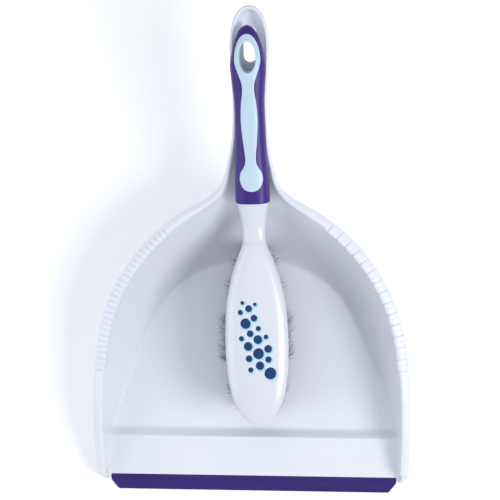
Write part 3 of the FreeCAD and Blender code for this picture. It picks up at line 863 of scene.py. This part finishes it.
def make_inlay():
    """Pale soft inlay standing a little proud of the grip."""
    outline = both_sides(INLAY)
    outline = outline[:len(outline) // 2 + 1]
    across = np.sin(np.linspace(-math.pi / 2, math.pi / 2, 41))
    rows = []
    for half, place in outline[2:-2]:
        half = max(half, 0.15)
        x = half * across
        end = min(place - outline[0, 1], outline[-1, 1] - place)
        lift = np.minimum(inlay_lift((half - np.abs(x)) / 0.7), inlay_lift(end / 0.8))
        grip = grip_surface(x, place)
        along = np.full(len(x), place)
        upper = np.column_stack([x, along, grip + lift])
        lower = np.column_stack([x, along, grip - INLAY_DEEP])[::-1]
        rows.append(np.vstack([upper, lower]))
    return loft("grip_inlay_face", rows, INLAY_BLUE)


def hole_outline(angle, spare=0.0):
    """Point of the hanging hole's edge, moved out by the spare."""
    return ((HOLE_HALF + spare) * np.cos(angle), HOLE_PLACE + (HOLE_LONG + spare) * np.sin(angle))


def make_hole_cutter():
    angle = np.linspace(0, 2 * math.pi, 96, endpoint=False)
    x, y = hole_outline(angle)
    rings = [np.column_stack([x, y, np.full(len(x), z)]) for z in (-30.0, 30.0)]
    return loft("hole_cutter", rings, HEAD_WHITE)


def cut_hole(pieces):
    """Cut the hanging hole through the pieces of the handle."""
    cutter = make_hole_cutter()
    for piece in pieces:
        subtract(piece, cutter)
        sharpen(piece)
    bpy.data.objects.remove(cutter)


# Section of the lining's rim: out from the hole, up from the grip.
HOLE_RIM = [
    (-0.28, -0.9), (-0.26, -0.2), (-0.05, 0.25), (0.4, 0.52), (1.0, 0.55), (1.5, 0.36), (1.7, 0.0),
    (1.6, -0.7), (0.35, -1.1),
]


def make_hole_lining():
    """Rounded lining of the hanging hole."""
    rows = []
    for angle in np.linspace(0, 2 * math.pi, 120, endpoint=False):
        x, y = hole_outline(angle, 0.8)
        top = float(grip_surface(x, y)) + 0.15
        row = []
        for out, up in HOLE_RIM:
            px, py = hole_outline(angle, out)
            row.append((px, py, top + up))
        for out in (LINING_OUTSIDE, LINING_INSIDE):
            px, py = hole_outline(angle, out)
            row.append((px, py, -CORE_HEIGHT * float(end_round(py)) * LINING_DROP))
        rows.append(row)
    columns = len(rows[0])
    points = on_brush(np.array([p for row in rows for p in row]))
    faces = grid_faces(len(rows), columns, wrap_rows=True)
    lining = make_piece("hole_lining", points, faces, INLAY_BLUE)
    outward(lining)
    return lining


# ---------------------------------------------------------------- bubble motif

DISC_SPOKES, DISC_HOOPS = 40, 5
HALO_SHIFT, HALO_EXTRA = (0.55, -0.5), 0.55
HALO_RISE, BUBBLE_RISE = 0.05, 0.11


def head_surface(x, place):
    """Height of the top of the head."""
    across = np.clip(np.abs(x) / head_half(place), 0, 1) ** (CROWN_POWER / 2)
    return spine(place) + head_top(place) * np.sqrt(1 - across ** 2) ** (2 / CROWN_POWER)


def printed_discs(name, discs, rise, material):
    """Thin printed dots that follow the top of the head."""
    points, faces = [], []
    spokes, hoops = DISC_SPOKES, DISC_HOOPS
    for cx, cy, radius in discs:
        start = len(points)
        for hoop in range(hoops + 1):
            reach = radius * hoop / hoops
            for spoke in range(spokes):
                angle = 2 * math.pi * spoke / spokes
                x, y = cx + reach * math.cos(angle), cy + reach * math.sin(angle)
                points.append((x, y, float(head_surface(x, y)) + (rise if hoop < hoops else -0.05)))
        faces += grid_faces(hoops + 1, spokes, start=start)
        faces.append(tuple(start + k for k in range(spokes)))
        faces.append(tuple(start + hoops * spokes + k for k in reversed(range(spokes))))
    piece = make_piece(name, on_brush(points), faces, material)
    weld(piece)
    outward(piece)
    return piece


# Dots across the head and along it, with their radii, in brush millimetres.
BUBBLES = [
    (9.4, -189.0, 4.6), (2.2, -183.4, 3.3), (8.2, -179.2, 2.5), (-4.4, -186.2, 2.0), (1.4, -175.0, 4.2),
    (-5.4, -178.4, 2.6), (8.2, -171.8, 3.0), (1.2, -165.2, 3.4), (-5.8, -169.8, 3.4), (6.8, -163.4, 1.8),
    (-4.2, -161.0, 2.6), (-10.4, -164.4, 2.0), (1.6, -157.4, 2.0), (-7.2, -154.0, 4.0), (-1.2, -150.2, 2.6),
    (-10.8, -146.2, 2.0), (-4.8, -143.6, 2.7), (-0.4, -140.6, 1.4), (-9.2, -139.6, 1.5),
]


def make_motif():
    """Trail of printed bubbles, each with a pale rim."""
    halo = [(x + HALO_SHIFT[0], y + HALO_SHIFT[1], r + HALO_EXTRA) for x, y, r in BUBBLES]
    return [printed_discs("motif_halo", halo, HALO_RISE, INK_PALE),
            printed_discs("motif_bubbles", BUBBLES, BUBBLE_RISE, INK_NAVY)]


# ---------------------------------------------------------------- bristles

TUFT_FIRST, TUFT_PITCH, TUFT_SPACING, TUFT_LENGTH = -216.5, 8.3, 8.6, 42.0
TUFT_ROWS, TUFT_MARGIN, TUFT_ROOT = 14, 4.6, 2.1
TOE_START, TOE_REACH = 205.0, 12.0
HEAD_TILT = math.atan(BEND_SLOPE)
BRISTLES_PER_TUFT, BRISTLE_BENDS, BRISTLE_HALF = 62, 6, 0.16
BRISTLE_GROUND = 0.5
SPLAY_RIGHT, SPLAY_LEFT, SPLAY_TOE, SPLAY_TUFT, SPLAY_STRAY = 3.2, 10.0, 3.0, 3.4, 0.8
BRISTLE_BOW, BOW_STRAY = -0.12, 0.35


def tuft_count(place):
    """Tufts that fit across the head at a place."""
    return int(2 * (float(head_half(place)) - TUFT_MARGIN) / TUFT_SPACING) + 1


def bristle_path(root, tip, sag):
    """Points of one bristle from root to tip, bowed sideways."""
    t = np.linspace(0, 1, BRISTLE_BENDS)[:, None]
    return root + (tip - root) * t + sag * (t * (1 - t) * 4)


def rest_on_pan(paths):
    """Keep bristles above the pan, bending their ends where they would meet it."""
    x, y = np.abs(paths[..., 0]).ravel(), paths[..., 1].ravel()
    ground = inside_height(x, y).reshape(paths.shape[:2]) + BRISTLE_GROUND
    paths[..., 2] = np.maximum(paths[..., 2], ground)
    return paths


def tube(path, half):
    """Three-sided tube along a path, tapered at the tip."""
    along = np.gradient(path, axis=0)
    along /= np.linalg.norm(along, axis=1)[:, None]
    side = np.cross(along, (0.31, 0.93, 0.19))
    side /= np.maximum(np.linalg.norm(side, axis=1)[:, None], 1e-9)
    other = np.cross(along, side)
    taper = np.linspace(1.0, 0.55, len(path))[:, None] * half
    corners = [path + taper * (math.cos(a) * side + math.sin(a) * other) for a in (0.0, 2.0944, 4.1888)]
    return np.stack(corners, axis=1).reshape(-1, 3)


def on_head(path, place):
    """Stand a bristle on the tilted underside of the head, in pan millimetres."""
    turn = path - (0, place, 0)
    cosine, sine = math.cos(HEAD_TILT), math.sin(HEAD_TILT)
    tilted = turn.copy()
    tilted[:, 1] = turn[:, 1] * cosine + turn[:, 2] * sine
    tilted[:, 2] = -turn[:, 1] * sine + turn[:, 2] * cosine
    return on_brush(tilted + (0, place, float(spine(place) - head_low(place)) + 0.8))


def tuft_bristles(x0, place, half):
    """Bristle paths of one tuft in pan millimetres."""
    paths = []
    edge = x0 / max(half - TUFT_MARGIN, 1.0)
    toe = max(0.0, (-place - TOE_START) / TOE_REACH)
    outer = edge * abs(edge) * (SPLAY_RIGHT if edge > 0 else SPLAY_LEFT)
    for _ in range(BRISTLES_PER_TUFT):
        angle, reach = NOISE.uniform(0, 2 * math.pi), math.sqrt(NOISE.uniform(0, 1))
        out = np.array([math.cos(angle), math.sin(angle)]) * reach
        length = TUFT_LENGTH * NOISE.uniform(0.93, 1.0)
        lean = np.array([outer, -toe * SPLAY_TOE]) + out * SPLAY_TUFT + NOISE.normal(0, SPLAY_STRAY, 2)
        root = np.array([x0 + out[0] * TUFT_ROOT, place + out[1] * TUFT_ROOT, 0.0])
        tip = np.array([root[0] + lean[0], root[1] + lean[1] * 1.2, -length])
        sag = np.append(lean * BRISTLE_BOW + NOISE.normal(0, BOW_STRAY, 2), 0.0)
        paths.append(on_head(bristle_path(root, tip, sag), place))
    return paths


def make_bristle_row(row_number):
    """One row of tufts, with a tone for each bristle."""
    place = TUFT_FIRST + (row_number - 1) * TUFT_PITCH
    half, count = float(head_half(place)), tuft_count(place)
    paths = []
    for k in range(count):
        paths += tuft_bristles((k - (count - 1) / 2) * TUFT_SPACING, place, half)
    points, faces, tones = [], [], []
    for number, path in enumerate(rest_on_pan(np.array(paths))):
        start = number * BRISTLE_BENDS * 3
        points.append(tube(path, BRISTLE_HALF))
        faces += grid_faces(BRISTLE_BENDS, 3, start=start)
        last = start + (BRISTLE_BENDS - 1) * 3
        faces += [(start + 2, start + 1, start), (last, last + 1, last + 2)]
        tones += [NOISE.uniform(0, 1)] * (BRISTLE_BENDS * 3)
    row = make_piece("bristles_%02d" % row_number, np.vstack(points), faces, BRISTLE)
    tone = row.data.attributes.new("tone", "FLOAT", "POINT")
    tone.data.foreach_set("value", tones)
    return row


def bristle_material():
    material, tree, shader = new_material("bristle")
    tone = add_node(tree, "ShaderNodeAttribute")
    tone.attribute_name = "tone"
    colour = mix_colour(tree, tone.outputs["Fac"], (0.035, 0.025, 0.13, 1), (0.16, 0.105, 0.44, 1))
    tree.links.new(colour, shader.inputs["Base Color"])
    tree.links.new(spread(tree, tone.outputs["Fac"], 0.28, 0.45), shader.inputs["Roughness"])
    shader.inputs["Specular IOR Level"].default_value = 0.6
    shader.inputs["Sheen Weight"].default_value = 0.15
    return material


def wire_material():
    material, tree, shader = new_material("staple_wire")
    place = object_place(tree)
    grain = noise(tree, place, 3000.0, 2.0)
    colour = mix_colour(tree, grain, (0.55, 0.56, 0.58, 1), (0.68, 0.69, 0.70, 1))
    tree.links.new(colour, shader.inputs["Base Color"])
    tree.links.new(spread(tree, grain, 0.22, 0.38), shader.inputs["Roughness"])
    bump = add_node(tree, "ShaderNodeBump", Height=grain, Strength=0.2, Distance=0.00005)
    tree.links.new(bump.outputs[0], shader.inputs["Normal"])
    shader.inputs["Metallic"].default_value = 1.0
    return material


BRISTLE = bristle_material()
STAPLE_WIRE = wire_material()


# ---------------------------------------------------------------- hanging slot of the pan

SLOT_HALF, SLOT_NEAR, SLOT_FAR = 4.5, 311.0, 335.0
SLOT_LEVELS = (45.0, 110.0)


def slot_outline(count=40):
    """Long round-ended outline of the slot."""
    turn = np.linspace(-math.pi / 2, math.pi / 2, count)
    far = np.column_stack([-SLOT_HALF * np.sin(turn), SLOT_FAR - SLOT_HALF + SLOT_HALF * np.cos(turn)])
    near = np.column_stack([SLOT_HALF * np.sin(turn), SLOT_NEAR + SLOT_HALF - SLOT_HALF * np.cos(turn)])
    return np.vstack([far, near])


def cut_slot(shell):
    """Cut the slot through the floor of the trough."""
    outline = slot_outline()
    rings = [np.column_stack([outline, np.full(len(outline), z)]) for z in SLOT_LEVELS]
    cutter = make_piece("slot_cutter", np.vstack(rings), capped_faces(2, len(outline)), PAN_WHITE)
    outward(cutter)
    subtract(shell, cutter)
    sharpen(shell, 50.0)
    bpy.data.objects.remove(cutter)


# ---------------------------------------------------------------- building the set

def place_piece(piece, body, slot, *nodes):
    """Put a piece on its body in place of the named nodes; its slot is not used."""
    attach(piece, body)
    if nodes:
        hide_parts(*nodes)


shell = make_shell()
cut_slot(shell)
place_piece(shell, "pan", "pan_plastic", "pan_body")
place_piece(make_rim(), "pan", "pan_plastic")
place_piece(make_lip(), "pan", "lip_rubber", "pan_lip")

head, core, grip, inlay = make_head(), make_core(), make_grip(), make_inlay()
cut_hole([core, grip, inlay])
sharpen(head)
place_piece(head, "brush", "brush_plastic", "brush_body")
place_piece(core, "brush", "brush_plastic")
place_piece(grip, "brush", "grip_rubber", "brush_grip")
place_piece(inlay, "brush", "inlay_rubber", "grip_inlay")
place_piece(make_hole_lining(), "brush", "inlay_rubber")
for piece in make_motif():
    place_piece(piece, "brush", "brush_plastic")
for number in range(1, TUFT_ROWS + 1):
    place_piece(make_bristle_row(number), "brush", "bristle", "tuft_row_%02d" % number)
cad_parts["tuft_staples"].data.materials.clear()
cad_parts["tuft_staples"].data.materials.append(STAPLE_WIRE)


# ---------------------------------------------------------------- stage, light and camera

FLOOR_TONE, FLOOR_SHADE = (0.88, 0.885, 0.895, 1), (0.90, 0.905, 0.913, 1)
FLOOR_GLOW, FLOOR_REACH = 0.16, 4.0
WORLD_COLOUR, WORLD_STRENGTH = (0.91, 0.94, 1.0, 1), 0.575

# Lights in metres: name, place, aim, power, width, colour.
LIGHTS = [
    ("key_light", (0.92, -0.28, 1.0), (0.0, 0.0, 0.02), 9.2, 0.55, (1.0, 0.99, 0.97)),
    ("top_light", (0.05, 0.1, 1.9), (0.0, 0.0, 0.0), 3.0, 1.4, (0.97, 0.98, 1.0)),
    ("fill_light", (-0.95, -0.1, 0.62), (0.0, 0.0, 0.02), 3.6, 0.8, (0.95, 0.97, 1.0)),
]

CAMERA_PLACE = to_world([(61.8, 201.0, 1100.0)])[0]
CAMERA_AIM = to_world([(-3.4, 179.0, 0.0)])[0]
CAMERA_LENS, CAMERA_ROLL, SENSOR_WIDTH = 106.9, math.radians(0.35), 36.0


def make_floor():
    """Wide pale floor under the set."""
    material, tree, shader = new_material("stage_floor")
    place = object_place(tree)
    tone = mix_colour(tree, noise(tree, place, 1.5, 2.0), FLOOR_TONE, FLOOR_SHADE)
    tree.links.new(tone, shader.inputs["Base Color"])
    shader.inputs["Roughness"].default_value = 0.75
    shader.inputs["Specular IOR Level"].default_value = 0.2
    tree.links.new(tone, shader.inputs["Emission Color"])
    shader.inputs["Emission Strength"].default_value = FLOOR_GLOW
    mesh = bpy.data.meshes.new("stage_floor")
    corners = [(-1, -1, 0), (1, -1, 0), (1, 1, 0), (-1, 1, 0)]
    mesh.from_pydata([(x * FLOOR_REACH, y * FLOOR_REACH, z) for x, y, z in corners], [],
                     [(0, 1, 2, 3)])
    mesh.materials.append(material)
    floor = bpy.data.objects.new("stage_floor", mesh)
    bpy.context.scene.collection.objects.link(floor)


def add_light(name, place, aim, power, width, colour):
    data = bpy.data.lights.new(name, "AREA")
    data.energy, data.size, data.color = power, width, colour
    light = bpy.data.objects.new(name, data)
    light.location = place
    light.rotation_euler = (Vector(aim) - Vector(place)).to_track_quat("-Z", "Y").to_euler()
    bpy.context.scene.collection.objects.link(light)


def make_world():
    world = bpy.data.worlds.new("studio")
    bpy.context.scene.world = world
    world.use_nodes = True
    background = world.node_tree.nodes["Background"]
    background.inputs["Color"].default_value = WORLD_COLOUR
    background.inputs["Strength"].default_value = WORLD_STRENGTH


def make_camera(place, aim, lens, roll):
    """Camera with +Y up in the picture, then rolled."""
    data = bpy.data.cameras.new("camera")
    data.lens, data.sensor_width = lens, SENSOR_WIDTH
    data.clip_end = 20.0
    camera = bpy.data.objects.new("camera", data)
    back = (Vector(place) - Vector(aim)).normalized()
    right = Vector((0, 1, 0)).cross(back).normalized()
    facing = Matrix((right, back.cross(right), back)).transposed().to_4x4()
    camera.matrix_world = Matrix.Translation(place) @ facing @ Matrix.Rotation(roll, 4, "Z")
    bpy.context.scene.collection.objects.link(camera)
    bpy.context.scene.camera = camera


make_floor()
make_world()
for light in LIGHTS:
    add_light(*light)
make_camera(CAMERA_PLACE, CAMERA_AIM, CAMERA_LENS, CAMERA_ROLL)
bpy.context.scene.view_settings.view_transform = "Standard"
